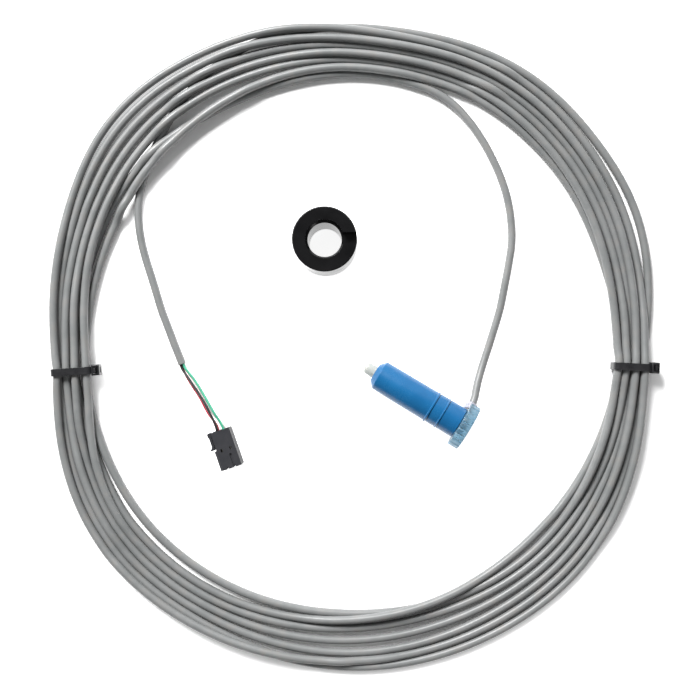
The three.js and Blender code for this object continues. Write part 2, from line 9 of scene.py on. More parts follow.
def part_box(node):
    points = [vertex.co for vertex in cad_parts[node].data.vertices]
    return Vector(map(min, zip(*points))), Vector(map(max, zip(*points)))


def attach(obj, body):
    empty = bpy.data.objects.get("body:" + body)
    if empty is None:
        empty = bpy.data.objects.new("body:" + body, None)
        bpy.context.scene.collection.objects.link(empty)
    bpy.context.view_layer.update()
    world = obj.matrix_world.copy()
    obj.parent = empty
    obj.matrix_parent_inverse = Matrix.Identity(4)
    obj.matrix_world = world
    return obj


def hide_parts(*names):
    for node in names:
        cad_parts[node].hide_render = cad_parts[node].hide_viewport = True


# A wired ultrasonic distance probe on a tied hoop of cable, with its connector and its loose mounting collar.
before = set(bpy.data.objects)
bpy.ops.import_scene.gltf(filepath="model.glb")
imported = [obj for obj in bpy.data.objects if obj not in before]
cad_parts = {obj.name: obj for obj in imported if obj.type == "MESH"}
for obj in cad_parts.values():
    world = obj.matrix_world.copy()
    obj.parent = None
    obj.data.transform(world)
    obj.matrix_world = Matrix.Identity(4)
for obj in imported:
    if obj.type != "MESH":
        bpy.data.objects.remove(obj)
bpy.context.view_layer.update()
mm = 0.001


def centreOf(node):
    low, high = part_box(node)
    return (low + high) / 2


# The pieces were laid out on a bench, with the hoop of cable round its middle. The collar's place on it tells
# where that bench lies in this frame.
collarOnBench = Vector((-12.1, 52.6, 0)) * mm
benchShift = centreOf("mounting_collar") - collarOnBench
benchShift.z = 0


def fromBench(x, y, z):
    return Vector((x, y, z)) * mm + benchShift


def axesFrame(origin, across, up, along):
    turn = Matrix((across, up, along)).transposed().to_4x4()
    return Matrix.Translation(origin) @ turn


# The probe's own frame: +Z from its nose to its cap, +X to the side where the cable leaves.
sealFromNose = 2.65 * mm
probeAxis = (centreOf("end_cap_seal") - centreOf("tip_seal")).normalized()
probeSide = Vector((-probeAxis.y, probeAxis.x, 0)).normalized()
noseMiddle = centreOf("tip_seal") - probeAxis * sealFromNose
probeFrame = axesFrame(noseMiddle, probeSide, probeAxis.cross(probeSide), probeAxis)

# The connector's own frame: +X to its latch, +Y from the wires to the mating end.
columnBeside, columnAhead, footAbove = 2.6 * mm, 9.85 * mm, 0.05 * mm
nearColumn = (centreOf("terminal_black") + centreOf("terminal_red")) / 2
farColumn = (centreOf("terminal_white") + centreOf("terminal_green")) / 2
plugSide = (nearColumn - farColumn).normalized()
plugAlong = Vector((0, 0, 1)).cross(plugSide)
plugOrigin = nearColumn - plugSide * columnBeside - plugAlong * columnAhead
plugOrigin.z = footAbove
plugFrame = axesFrame(plugOrigin, plugSide, plugAlong, Vector((0, 0, 1)))

# camera and light

cameraPlace = {"height": 450 * mm, "across": 352 * mm, "sensor": 36.0}


def makeCamera(place):
    data = bpy.data.cameras.new("camera")
    data.sensor_width = place["sensor"]
    data.lens = place["sensor"] * place["height"] / place["across"]
    data.clip_start, data.clip_end = 0.01, 20
    camera = bpy.data.objects.new("camera", data)
    camera.location = benchShift + Vector((0, 0, place["height"]))
    bpy.context.scene.collection.objects.link(camera)
    bpy.context.scene.camera = camera


studio = {
    "wall": 1.7,  # a wide white wall on the far side
    "room": 0.12,  # the rest of the room, with the dark camera overhead
    "wallEdge": (0.3, 0.55),  # how far towards the wall the light grows
    "seen": 0.95,  # the room as the camera sees it, beyond the table
    "towards": (-0.3, 0.95, 0.0),
    "key": 32.0,  # watts
    "keyFrom": (-0.48, 0.82, 0.85),
    "keySize": 0.5,
    "fill": 2.5,
    "fillFrom": (0.5, -0.55, 1.0),
    "fillSize": 0.6,
    "paintedGlow": 0.9,  # painted light: the floor itself glows, so that it stays white and the shadows on it vanish
    "under": 0.03,  # the share of that painted glow under the hoop, nearly none, so the gaps between strands stay dark
    "beyond": 0.75,  # and outside it, painted light that whitens the shadows beyond the hoop
    "hoop": (0.122, 0.168),  # metres from the middle of the hoop to where the cable begins and ends
    "softEdge": 0.01,
    "floorSide": 12.0,
}


def areaLight(name, watts, place, size):
    data = bpy.data.lights.new(name, "AREA")
    data.shape, data.size, data.energy = "DISK", size, watts
    light = bpy.data.objects.new(name, data)
    light.location = place
    light.rotation_euler = (-Vector(place)).to_track_quat("-Z", "Y").to_euler()
    bpy.context.scene.collection.objects.link(light)


def makeStudio(light):
    world = bpy.data.worlds.new("studio")
    world.use_nodes = True
    tree = world.node_tree
    sky = tree.nodes["Background"]
    where = tree.nodes.new("ShaderNodeTexCoord")
    facing = tree.nodes.new("ShaderNodeVectorMath")
    facing.operation = "DOT_PRODUCT"
    facing.inputs[1].default_value = light["towards"]
    ramp = tree.nodes.new("ShaderNodeMapRange")
    ramp.interpolation_type = "SMOOTHSTEP"
    ramp.inputs["From Min"].default_value, ramp.inputs["From Max"].default_value = light["wallEdge"]
    ramp.inputs["To Min"].default_value, ramp.inputs["To Max"].default_value = light["room"], light["wall"]
    tree.links.new(where.outputs["Generated"], facing.inputs[0])
    tree.links.new(facing.outputs["Value"], ramp.inputs["Value"])
    ray = tree.nodes.new("ShaderNodeLightPath")
    backdrop = tree.nodes.new("ShaderNodeMix")
    backdrop.inputs["B"].default_value = light["seen"]
    tree.links.new(ray.outputs["Is Camera Ray"], backdrop.inputs["Factor"])
    tree.links.new(ramp.outputs["Result"], backdrop.inputs["A"])
    tree.links.new(backdrop.outputs["Result"], sky.inputs["Strength"])
    sky.inputs["Color"].default_value = (1, 1, 1, 1)
    bpy.context.scene.world = world
    areaLight("key", light["key"], light["keyFrom"], light["keySize"])
    areaLight("fill", light["fill"], light["fillFrom"], light["fillSize"])
    bpy.context.scene.view_settings.view_transform = "Standard"


makeCamera(cameraPlace)
makeStudio(studio)
print("camera and studio made")

# finishes


def tone(red, green, blue):
    # a colour as it looks on a screen, turned into the light it reflects
    def light(value):
        share = value / 255
        return share / 12.92 if share <= 0.04045 else ((share + 0.055) / 1.055) ** 2.4

    return (light(red), light(green), light(blue), 1.0)


class Signal:
    def __init__(self, finish, socket):
        self.finish, self.socket = finish, socket

    def __add__(self, other):
        return self.finish.maths("ADD", self, other)

    def __mul__(self, other):
        return self.finish.maths("MULTIPLY", self, other)

    __radd__, __rmul__ = __add__, __mul__


class Finish:
    def __init__(self, name, fixed=None):
        self.material = bpy.data.materials.new(name)
        self.material.use_nodes = True
        self.nodes = self.material.node_tree.nodes
        self.links = self.material.node_tree.links
        self.shader = self.nodes["Principled BSDF"]
        for socket, value in (fixed or {}).items():
            self.shader.inputs[socket].default_value = value
        self.place = self.add("TexCoord", {}, {}, "Object")

    def add(self, kind, settings, inputs, output=0):
        node = self.nodes.new("ShaderNode" + kind)
        for setting, value in settings.items():
            setattr(node, setting, value)
        for socket, value in inputs.items():
            if isinstance(value, Signal):
                self.links.new(value.socket, node.inputs[socket])
            else:
                node.inputs[socket].default_value = value
        return Signal(self, node.outputs[output])

    def maths(self, operation, first, second):
        return self.add("Math", {"operation": operation}, {0: first, 1: second})

    def noise(self, scale, detail=2.0, place=None):
        return self.add("TexNoise", {}, {"Vector": place or self.place, "Scale": scale, "Detail": detail})

    def stretched(self, size):
        return self.add("Mapping", {}, {"Vector": self.place, "Scale": size})

    def ranged(self, signal, low, high, toLow=0.0, toHigh=1.0):
        inputs = {"Value": signal, "From Min": low, "From Max": high, "To Min": toLow, "To Max": toHigh}
        return self.add("MapRange", {}, inputs)

    def mixed(self, share, first, second):
        return self.add("Mix", {"data_type": "RGBA"}, {0: share, 6: first, 7: second}, 2)

    def bump(self, height, depth):
        self.feed("Normal", self.add("Bump", {}, {"Height": height, "Distance": depth, "Strength": 1.0}))

    def feed(self, socket, signal):
        self.links.new(signal.socket, self.shader.inputs[socket])


# Moulded plastic: a slow drift of shade, a faint mottle and a fine spark-eroded grain.
def moulded(name, light, dark, roughness, grain=0.01, drift=60, specular=0.5):
    finish = Finish(name, {"Specular IOR Level": specular})
    slow = finish.noise(drift, 3)
    fine = finish.noise(2400, 2)
    finish.feed("Base Color", finish.mixed(finish.ranged(slow, 0.3, 0.7), dark, light))
    mottle = slow * 0.6 + fine * 0.4
    finish.feed("Roughness", finish.ranged(mottle, 0.3, 0.7, roughness - 0.05, roughness + 0.06))
    finish.bump(fine, grain * mm)
    return finish


jacketLook = {
    "light": tone(120, 121, 121),
    "dark": tone(108, 110, 110),
    "warm": tone(116, 113, 109),
    "roughness": 0.34,
}


def jacketFinish(look):
    finish = Finish("cable jacket", {"Specular IOR Level": 0.35})
    slow = finish.noise(35, 3)
    patches = finish.noise(180, 3)
    fine = finish.noise(1500, 2)
    base = finish.mixed(finish.ranged(slow * 0.6 + patches * 0.4, 0.38, 0.62), look["dark"], look["light"])
    finish.feed("Base Color", finish.mixed(finish.ranged(patches, 0.5, 0.8) * 0.6, base, look["warm"]))
    spread = finish.ranged(patches * 0.5 + fine * 0.5, 0.3, 0.7, -0.06, 0.08)
    finish.feed("Roughness", spread + look["roughness"])
    finish.bump(fine, 0.012 * mm)
    return finish


def clearFinish(name, tint, haze, through=1.0):
    finish = Finish(name, {"IOR": 1.49, "Transmission Weight": through})
    flow = finish.noise(300, 2)
    deep = (tint[0] * 0.8, tint[1] * 0.88, tint[2] * 0.92, 1)
    finish.feed("Base Color", finish.mixed(finish.ranged(flow, 0.35, 0.65), deep, tint))
    finish.feed("Roughness", finish.ranged(flow, 0.3, 0.7, haze * 0.8, haze * 1.2))
    finish.bump(flow, 0.004 * mm)
    return finish


def metalFinish(name, light, dark, roughness):
    finish = Finish(name, {"Metallic": 1.0})
    drawn = finish.noise(260, 3, finish.stretched((1, 1, 9)))
    finish.feed("Base Color", finish.mixed(drawn, dark, light))
    finish.feed("Roughness", finish.ranged(drawn, 0.3, 0.7, roughness - 0.08, roughness + 0.1))
    finish.bump(drawn, 0.004 * mm)
    return finish


def floorFinish(light):
    matt = {"Specular IOR Level": 0.1, "Roughness": 0.9, "Emission Strength": light["paintedGlow"]}
    finish = Finish("white sweep with painted glow", matt)
    soft = finish.noise(4, 2)
    # The floor's emission is painted light that whitens shadows: full inside the hoop, at the beyond share
    # outside it, and nearly off under the cable.
    full, under, beyond = ((share, share, share, 1) for share in (1, light["under"], light["beyond"]))
    inner, outer = light["hoop"]
    middle = fromBench(*hoop["centre"], 0)
    reach = finish.add("VectorMath", {"operation": "DISTANCE"}, {0: finish.place, 1: middle}, "Value")
    inwards = finish.ranged(reach, inner, inner + light["softEdge"])
    outwards = finish.ranged(reach, outer - light["softEdge"], outer)
    paintedGlow = finish.mixed(outwards, finish.mixed(inwards, full, under), beyond)
    finish.feed("Emission Color", paintedGlow)
    finish.feed("Base Color", finish.mixed(soft, (0.9, 0.9, 0.9, 1), (0.93, 0.93, 0.93, 1)))
    return finish


finishes = {
    "barrel": moulded("blue barrel plastic", tone(24, 90, 136), tone(20, 82, 127), 0.26, 0.004, 90, 0.25),
    "clear": clearFinish("clear cap plastic", (0.24, 0.42, 0.54, 1), 0.3, 0.8),
    "tip": clearFinish("milky tip plastic", (0.46, 0.46, 0.43, 1), 0.25, 0.3),
    "bush": clearFinish("clear bush plastic", (0.8, 0.76, 0.84, 1), 0.35, 0.8),
    "jacket": jacketFinish(jacketLook),
    "tie": moulded("black tie nylon", tone(34, 34, 36), tone(25, 25, 27), 0.3, 0.008, 200),
    "connector": moulded("connector nylon", tone(52, 52, 55), tone(44, 45, 48), 0.45, 0.01, 150, 0.08),
    "collar": moulded("collar plastic", tone(18, 18, 19), tone(12, 12, 13), 0.15, 0.004, 120, 0.35),
    "black": moulded("black insulation", tone(38, 34, 36), tone(26, 24, 25), 0.4, 0.006, 300),
    "red": moulded("red insulation", tone(190, 44, 66), tone(160, 34, 52), 0.4, 0.006, 300),
    "white": moulded("white insulation", tone(236, 236, 230), tone(214, 214, 208), 0.4, 0.006, 300),
    "green": moulded("green insulation", tone(70, 158, 128), tone(52, 134, 106), 0.4, 0.006, 300),
    "rubber": moulded("seal rubber", tone(40, 40, 42), tone(28, 28, 29), 0.65, 0.02, 400, 0.3),
    "ceramic": moulded("piezo ceramic", tone(196, 186, 164), tone(174, 164, 142), 0.55, 0.02, 500),
    "lead": metalFinish("tinned lead", tone(206, 206, 200), tone(168, 168, 162), 0.3),
    "board": moulded("board laminate", tone(40, 112, 72), tone(30, 92, 58), 0.35, 0.02, 700),
    "chip": moulded("chip resin", tone(44, 44, 46), tone(32, 32, 34), 0.5, 0.03, 500),
    "can": metalFinish("capacitor case", tone(214, 212, 206), tone(176, 174, 170), 0.35),
}

# shapes

sharpFrom = 32  # degrees: an edge that turns more than this is a sharp one
joinWithin = 0.0001 * mm


def ready(shape):
    bmesh.ops.remove_doubles(shape, verts=shape.verts, dist=joinWithin)
    bmesh.ops.recalc_face_normals(shape, faces=shape.faces)
    for face in shape.faces:
        face.smooth = True
    for edge in shape.edges:
        sharp = len(edge.link_faces) == 2 and edge.calc_face_angle() > math.radians(sharpFrom)
        edge.smooth = not sharp
    return shape


def piece(name, shape, finish, slot, body="root", stands=(), bevel=None, segments=2):
    mesh = bpy.data.meshes.new(name)
    shape.to_mesh(mesh)
    shape.free()
    made = bpy.data.objects.new(name, mesh)
    return shown(made, finish, slot, body, stands, bevel, segments)


def shown(made, finish, slot, body="root", stands=(), bevel=None, segments=2):
    if made.name not in bpy.context.scene.collection.objects:
        bpy.context.scene.collection.objects.link(made)
    made.data.materials.append(finishes[finish].material)
    if bevel:
        edges = made.modifiers.new("edges", "BEVEL")
        edges.width, edges.segments, edges.limit_method = bevel * mm, segments, "ANGLE"
        edges.angle_limit = math.radians(sharpFrom)
        edges.harden_normals = True
    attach(made, body)
    if stands:
        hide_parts(*stands)
    return made


# A closed profile of (radius, height) points in millimetres, turned about +Z.
def spun(profile, steps=96):
    shape = bmesh.new()
    verts = [shape.verts.new((radius * mm, 0, height * mm)) for radius, height in profile]
    edges = [shape.edges.new(pair) for pair in zip(verts, verts[1:])]
    if profile[0][0] > 0 or profile[-1][0] > 0:
        edges.append(shape.edges.new((verts[-1], verts[0])))
    bmesh.ops.spin(shape, geom=verts + edges, axis=(0, 0, 1), cent=(0, 0, 0), angle=2 * math.pi,
                   steps=steps, use_merge=True)
    bmesh.ops.remove_doubles(shape, verts=shape.verts, dist=joinWithin)
    return shape


def blockOf(size, centre):
    shape = bmesh.new()
    grow = Matrix.Translation(Vector(centre) * mm) @ Matrix.Diagonal((*(Vector(size) * mm), 1))
    bmesh.ops.create_cube(shape, size=1, matrix=grow)
    return shape


def moved(shape, matrix):
    bmesh.ops.transform(shape, matrix=matrix, verts=shape.verts)
    return shape


def carried(shape, grown, way):
    verts = [part for part in grown["geom"] if isinstance(part, bmesh.types.BMVert)]
    bmesh.ops.translate(shape, vec=Vector(way) * mm, verts=verts)


def rounded(shape, edges, offset, segments):
    bmesh.ops.bevel(shape, geom=edges, offset=offset * mm, affect="EDGES", segments=segments,
                    profile=0.5, material=-1)


# The copy of a CAD node with its loose triangles joined and its flat faces whole.
def copyOf(node):
    shape = bmesh.new()
    shape.from_mesh(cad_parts[node].data)
    bmesh.ops.remove_doubles(shape, verts=shape.verts, dist=10 * joinWithin)
    bmesh.ops.dissolve_limit(shape, angle_limit=math.radians(1), verts=shape.verts, edges=shape.edges)
    return shape


# A shape with others taken out of it, or joined onto it.
def carved(shape, others, how="DIFFERENCE"):
    def held(solid):
        mesh = bpy.data.meshes.new("held")
        solid.to_mesh(mesh)
        solid.free()
        made = bpy.data.objects.new("held", mesh)
        bpy.context.scene.collection.objects.link(made)
        return made

    body = held(shape)
    tools = [held(other) for other in others]
    for tool in tools:
        cut = body.modifiers.new("cut", "BOOLEAN")
        cut.operation, cut.solver, cut.object = how, "EXACT", tool
    bpy.context.view_layer.update()
    result = bmesh.new()
    result.from_mesh(body.evaluated_get(bpy.context.evaluated_depsgraph_get()).data)
    for used in [body, *tools]:
        bpy.data.objects.remove(used)
    return result


# the cable: its hoop, then the two free leads, as one cord

hoop = {
    "centre": (0.5, -1.0),
    "from": 142,  # degrees round the hoop where the first turn starts; the cable runs clockwise
    "turns": 7,
    "to": 72,  # where the last stretch leaves for the probe
    "every": 3,  # degrees between the points of the cable
    "rest": 2.05,  # height of its middle on the floor
    "tieRest": 3.25,  # and on the strap of a tie
    "tieAngles": (-3, -176),
    "tieRadius": 139.3,
    "tieReach": ((6.5, 6.5), (8.4, 6.5)),  # inwards and outwards, to the middle of a tie's end strands
}
settling = {
    "rounds": 420,
    "easing": 380,  # rounds in which the cable also draws itself smooth and sinks
    "rankHeight": 1.5,
    "raised": 0.6,  # the upper strand's share of an overlap, the lower one takes the rest
    "pressed": 0.25,  # each strand's share where two lie side by side
    "pull": 0.15,  # back to where the strand belongs
    "sink": 0.1,
    "loose": 12,  # room beside the bundle where a tie begins to gather it
    "eye": 448,  # the strands' places hold as seen from this height over the floor
}
cable = {
    "diameter": 4.0,
    "wire": 1.3,
    "apart": 0.75,  # from the middle of the jacket to the middle of a conductor, each way
    "inside": 1.5,  # how far a conductor starts inside the jacket's end
    "straight": 3.8,  # and how far it then runs straight
}

# Where the strands lie: direction round the hoop, strands from the inside out, their radii in millimetres,
# and how high each one passes where it meets its neighbours. Strand 0 is the first turn.
layout = [
    (142, "6754321", (136.8, 141.5, 145.5, 150.5, 155.5, 161.0, 166.2), "2111111"),
    (130, "6754321", (138.2, 141.0, 147.5, 153.0, 158.5, 164.0, 169.5), "2111111"),
    (120, "7654321", (137.9, 139.7, 148.7, 153.3, 157.9, 162.4, 167.0), "1211111"),
    (110, "7654321", (137.7, 141.8, 146.9, 152.0, 157.0, 162.2, 167.5), "0111111"),
    (100, "7654321", (138.7, 143.0, 147.0, 151.2, 155.4, 159.8, 165.0), "0101011"),
    (90, "76543210", (139.4, 143.3, 146.4, 149.8, 153.0, 156.3, 160.9, 162.3), "01010110"),
    (80, "76543210", (138.9, 140.4, 144.0, 147.5, 151.0, 154.5, 158.5, 161.4), "01010110"),
    (70, "6543210", (142.4, 146.3, 149.8, 153.2, 156.7, 160.4, 163.7), "1010110"),
    (60, "6543210", (141.2, 145.3, 149.2, 153.0, 157.0, 161.1, 165.2), "0110110"),
    (50, "6543210", (138.9, 142.9, 147.1, 151.2, 155.3, 159.8, 164.2), "0110110"),
    (40, "6543210", (137.9, 140.9, 145.0, 148.6, 152.0, 156.2, 160.4), "0110110"),
    (30, "6543210", (135.2, 138.4, 142.6, 146.6, 150.4, 154.8, 161.2), "0110110"),
    (20, "6543210", (133.0, 135.0, 139.1, 142.6, 146.0, 150.4, 157.0), "0110110"),
    (10, "5643210", (132.8, 134.4, 137.6, 140.5, 143.6, 147.2, 150.7), "1010110"),
    (-3, "5643201", (132.9, 135.0, 137.2, 139.4, 141.6, 143.7, 145.9), "1010101"),
    (-20, "6543201", (131.4, 133.6, 137.3, 140.7, 144.1, 147.5, 151.0), "0110101"),
    (-30, "6543201", (130.7, 134.5, 138.4, 142.5, 146.7, 150.9, 155.0), "0110101"),
    (-45, "6543201", (129.1, 135.2, 139.8, 144.4, 149.0, 153.6, 158.2), "1000000"),
    (-60, "6543201", (130.2, 134.4, 138.6, 143.4, 148.2, 153.0, 157.7), "1000010"),
    (-72, "6543201", (131.8, 132.6, 137.0, 143.0, 149.2, 153.6, 157.8), "1000010"),
    (-90, "5643201", (130.3, 133.9, 138.0, 144.2, 150.6, 154.5, 158.0), "0100010"),
    (-120, "5643210", (132.1, 138.2, 142.1, 146.0, 149.9, 153.8, 157.7), "0000001"),
    (-140, "5643210", (133.4, 140.4, 144.1, 147.8, 151.4, 155.1, 158.7), "0000000"),
    (-150, "5643210", (133.4, 138.4, 142.1, 145.8, 149.4, 153.0, 156.5), "0020100"),
    (-160, "5643210", (132.6, 136.5, 138.6, 142.2, 146.0, 149.6, 153.2), "0021101"),
    (-170, "4563210", (131.6, 133.8, 137.6, 139.4, 142.6, 145.8, 149.2), "2001101"),
    (-176, "4536210", (131.0, 133.4, 136.0, 138.6, 141.2, 143.6, 145.9), "2010101"),
    (-190, "5463210", (132.0, 135.2, 137.8, 140.4, 144.2, 147.7, 151.2), "0201101"),
    (-200, "5643210", (132.9, 137.5, 139.6, 143.6, 147.3, 151.0, 154.7), "0021101"),
    (-210, "5643210", (133.8, 139.3, 141.6, 146.2, 150.6, 155.0, 159.5), "1011111"),
]
# the first turn starts inside and passes under all the others to the outside
underpass = [
    (142, 133.3), (137.5, 138.5), (132, 143.0), (124, 151.7), (115, 160.2), (108, 163.2), (100, 163.5),
]
lastStretch = [(72, 136.6)]


def hoopKnots(run):
    knots = [(run["from"] - direction, radius, 0) for direction, radius in underpass]
    for direction, strands, radii, levels in layout:
        for strand, radius, level in zip(strands, radii, levels):
            knots.append((360 * int(strand) + run["from"] - direction, radius, int(level)))
    last = 360 * run["turns"] + run["from"]
    knots += [(last - direction, radius, 0) for direction, radius in lastStretch]
    return np.array(sorted(knots))


def eased(values, rounds):
    # each point moves towards the middle of its neighbours along the cable
    for _ in range(rounds):
        values[1:-1] += 0.5 * ((values[:-2] + values[2:]) / 2 - values[1:-1])
    return values


def layHoop(run, way, thickness):
    knots = hoopKnots(run)
    perTurn = 360 // run["every"]
    total = 360 * run["turns"] + run["from"] - run["to"]
    count = total // run["every"] + 1
    travel = np.arange(count) * run["every"]
    wanted = eased(np.interp(travel, knots[:, 0], knots[:, 1]), 6)
    rank = np.interp(travel, knots[:, 0], knots[:, 2])
    direction = run["from"] - travel
    tied, inwards, outwards = np.zeros(count), np.zeros(count), np.zeros(count)
    for angle, (inside, outside) in zip(run["tieAngles"], run["tieReach"]):
        away = np.abs((direction - angle + 180) % 360 - 180)
        tied = np.maximum(tied, np.clip(1.6 - away / 3, 0, 1))
        inwards[away < 20], outwards[away < 20] = inside, outside
    floor = run["rest"] + (run["tieRest"] - run["rest"]) * tied
    rows = -(-count // perTurn)
    radius, height = wanted.copy(), floor + rank * way["rankHeight"]
    lowest = run["tieRadius"] - inwards - way["loose"] * (1 - tied)
    highest = run["tieRadius"] + outwards + way["loose"] * (1 - tied)
    room = rows * perTurn - count

    def byTurn(values, filler):
        return np.append(values, np.full(room, filler)).reshape(rows, perTurn)

    rankRows = byTurn(rank, 0)
    upper, lower = way["raised"], 1 - way["raised"]
    for turn in range(way["rounds"]):
        radiusRows, heightRows = byTurn(radius, 50.0), byTurn(height, 0.0)
        for under in range(rows):
            for over in range(under + 1, rows):
                apart = radiusRows[over] - radiusRows[under]
                rise = heightRows[over] - heightRows[under]
                order = rankRows[over] - rankRows[under]
                order = np.where(np.abs(order) > 0.05, np.sign(order), 0)
                need = np.sqrt(np.maximum(thickness**2 - apart**2, 0))
                lift = np.where(order != 0, np.maximum(need - order * rise, 0), 0)
                heightRows[over] += lift * np.where(order > 0, upper, -lower)
                heightRows[under] -= lift * np.where(order > 0, lower, -upper)
                press = np.where(order == 0, np.maximum(thickness - np.hypot(apart, rise), 0), 0)
                press = way["pressed"] * press * np.where(apart < 0, -1, 1)
                radiusRows[over] += press
                radiusRows[under] -= press
        radius, height = radiusRows.ravel()[:count].copy(), heightRows.ravel()[:count].copy()
        if turn < way["easing"]:
            belongs = wanted * (1 - (height - run["rest"]) / way["eye"])
            radius = eased(radius + way["pull"] * (belongs - radius), 1)
            height = eased(height - way["sink"], 2)
        radius = np.where(tied > 0, np.clip(radius, lowest, highest), radius)
        height = np.maximum(height, floor)
    turned = np.radians(direction)
    x = run["centre"][0] + radius * np.cos(turned)
    y = run["centre"][1] + radius * np.sin(turned)
    return [fromBench(*point) for point in zip(x, y, height)]


# the free leads, as they lie on the bench
sensorLead = [
    (50.6, 123.7, 2.05), (58.1, 116.2, 2.05), (66.1, 105.1, 2.05), (71.6, 95.1, 2.05), (75.9, 85.1, 2.05),
    (78.9, 75.1, 2.05), (80.6, 64.1, 2.05), (80.9, 54.1, 2.05), (79.4, 43.1, 2.05), (77.4, 32.5, 2.05),
    (75.1, 21.0, 2.05), (71.9, 10.0, 2.05), (68.9, 0.5, 2.2), (66.0, -8.0, 3.1), (63.5, -16.0, 4.9),
]
plugLead = [
    (-105.5, 76.8, 2.05), (-105.9, 70.1, 2.05), (-105.6, 62.1, 2.05), (-104.4, 54.1, 2.05),
    (-102.4, 46.1, 2.05), (-99.9, 38.1, 2.05), (-97.4, 30.0, 2.05), (-94.4, 20.0, 2.05),
    (-91.4, 12.0, 2.05), (-87.4, 1.5, 2.05), (-84.0, -7.0, 2.05),
]

# The way out of the cap: a straight bore from the probe's axis, sloping down from level.
outlet = {"from": 49.1, "below": 20, "jacketEnd": 1.9, "glandFrom": 8.4, "glandTo": 12.2}
slope = math.radians(outlet["below"])
outletWay = Vector((math.cos(slope), -math.sin(slope), 0))


def alongOutlet(reach):
    return probeFrame @ (Vector((0, 0, outlet["from"])) * mm + outletWay * reach * mm)


def cordCurve(name, points, thickness, rounding=6, between=3):
    data = bpy.data.curves.new(name, "CURVE")
    data.dimensions, data.bevel_depth, data.bevel_resolution = "3D", thickness * mm / 2, rounding
    data.resolution_u, data.use_fill_caps = between, True
    line = data.splines.new("BEZIER")
    line.bezier_points.add(len(points) - 1)
    for knot, point in zip(line.bezier_points, points):
        knot.co = point
        knot.handle_left_type = knot.handle_right_type = "AUTO"
    line.resolution_u = between
    return bpy.data.objects.new(name, data)


def lengthOf(points):
    return sum((second - first).length for first, second in zip(points, points[1:]))


def makeCable():
    insideCap = [alongOutlet(outlet[place]) for place in ("jacketEnd", "glandFrom", "glandTo")]
    lead = [fromBench(*point) for point in reversed(sensorLead)]
    coils = list(reversed(layHoop(hoop, settling, cable["diameter"])))
    rest = [fromBench(*point) for point in plugLead]
    points = insideCap + lead + coils + rest
    made = shown(cordCurve("cable", points, cable["diameter"]), "jacket", "cable_jacket",
                 stands=("cable_sensor_lead", "cable_coil", "cable_plug_lead"))
    return made, lengthOf(points)


# conductors: colour, column across the jacket, row in it, and the way to the housing
conductors = [
    ("black", 0, 1, [(-80.0, -14.9, 3.8), (-74.1, -23.3, 5.4), (-69.7, -30.9, 6.7)]),
    ("red", 0, 0, [(-80.9, -15.0, 1.6), (-75.4, -23.5, 1.9), (-71.0, -31.5, 2.5)]),
    ("white", 1, 0, [(-78.9, -14.4, 1.5), (-73.3, -23.1, 1.8), (-68.9, -31.2, 2.5)]),
    ("green", 1, 1, [(-77.9, -14.4, 3.6), (-72.3, -22.9, 5.4), (-67.6, -30.7, 6.8)]),
]
cavities = {
    "entries": (-1.5, (1.6, -1.5)),  # how far along the housing, and the two columns there
    "crimps": (3.3, (2.6, -1.5)),
    "rows": (2.75, 6.95),
}


def makeConductors():
    last, before = Vector(plugLead[-1]), Vector(plugLead[-2])
    ahead = (last - before).normalized()
    across = Vector((-ahead.y, ahead.x, 0))
    made = {}
    for colour, column, row, via in conductors:
        start = last - ahead * cable["inside"] + across * (cable["apart"] if column else -cable["apart"])
        start.z = hoop["rest"] + (cable["apart"] if row else -cable["apart"])
        lead = start + ahead * cable["straight"]
        points = [fromBench(*point) for point in [start, lead, *via]]
        for along, columns in (cavities["entries"], cavities["crimps"]):
            points.append(plugFrame @ (Vector((columns[column], along, cavities["rows"][row])) * mm))
        curve = cordCurve("conductor_" + colour, points, cable["wire"], 4, 12)
        made[colour] = shown(curve, colour, "wire_" + colour, stands=("wire_" + colour,)), lengthOf(points)
    return made


mainCable, mainLength = makeCable()
wires = makeConductors()
print("cable laid:", round(mainLength, 3), "m")

# cable ties: local +X points out of the hoop, +Y along the cable

tieMade = {
    "inside": 8.55,  # half the room inside the strap
    "slack": (0, 1.9),  # more room towards the middle of the hoop, on the right and on the left
    "low": 1.05,
    "high": 9.4,
    "width": 3.6,
    "strap": 0.95,
    "corner": 1.9,
    "head": (4.0, 5.5, 6.2),
    "headTop": 9.6,
    "headEdge": 0.45,
    "pocket": (2.45, 3.3, 1.6),  # where the tail comes out of the head
    "pocketOut": 0.25,
    "relief": (1.2, 2.9, 1.4),  # the small window in the head's end
    "reliefDown": 0.45,  # of the head's height
    "tail": (2.4, 0.95),  # wide and thick
    "tailFrom": -1.8,  # from the head's top
    "tailTo": 1.7,
    "tooth": 0.75,
}


def strapShape(tie, ends):
    # a ribbon round the bundle, given rounded corners and then its thickness
    low, high = tie["low"] * mm, tie["high"] * mm
    shape = bmesh.new()
    spots = ((ends[1], low), (ends[1], high), (ends[0], high), (ends[0], low))
    verts = [shape.verts.new((x * mm, -tie["width"] * mm / 2, z)) for x, z in spots]
    edges = [shape.edges.new((verts[side], verts[(side + 1) % 4])) for side in range(4)]
    carried(shape, bmesh.ops.extrude_edge_only(shape, edges=edges), (0, tie["width"], 0))
    corners = [edge for edge in shape.edges if abs(edge.verts[0].co.y - edge.verts[1].co.y) > mm]
    rounded(shape, corners, tie["corner"], 8)
    bmesh.ops.recalc_face_normals(shape, faces=shape.faces)
    face = max(shape.faces, key=lambda each: each.calc_center_median().z)
    if face.normal.z < 0:
        bmesh.ops.reverse_faces(shape, faces=shape.faces)
    bmesh.ops.solidify(shape, geom=shape.faces, thickness=-tie["strap"] * mm)
    return shape


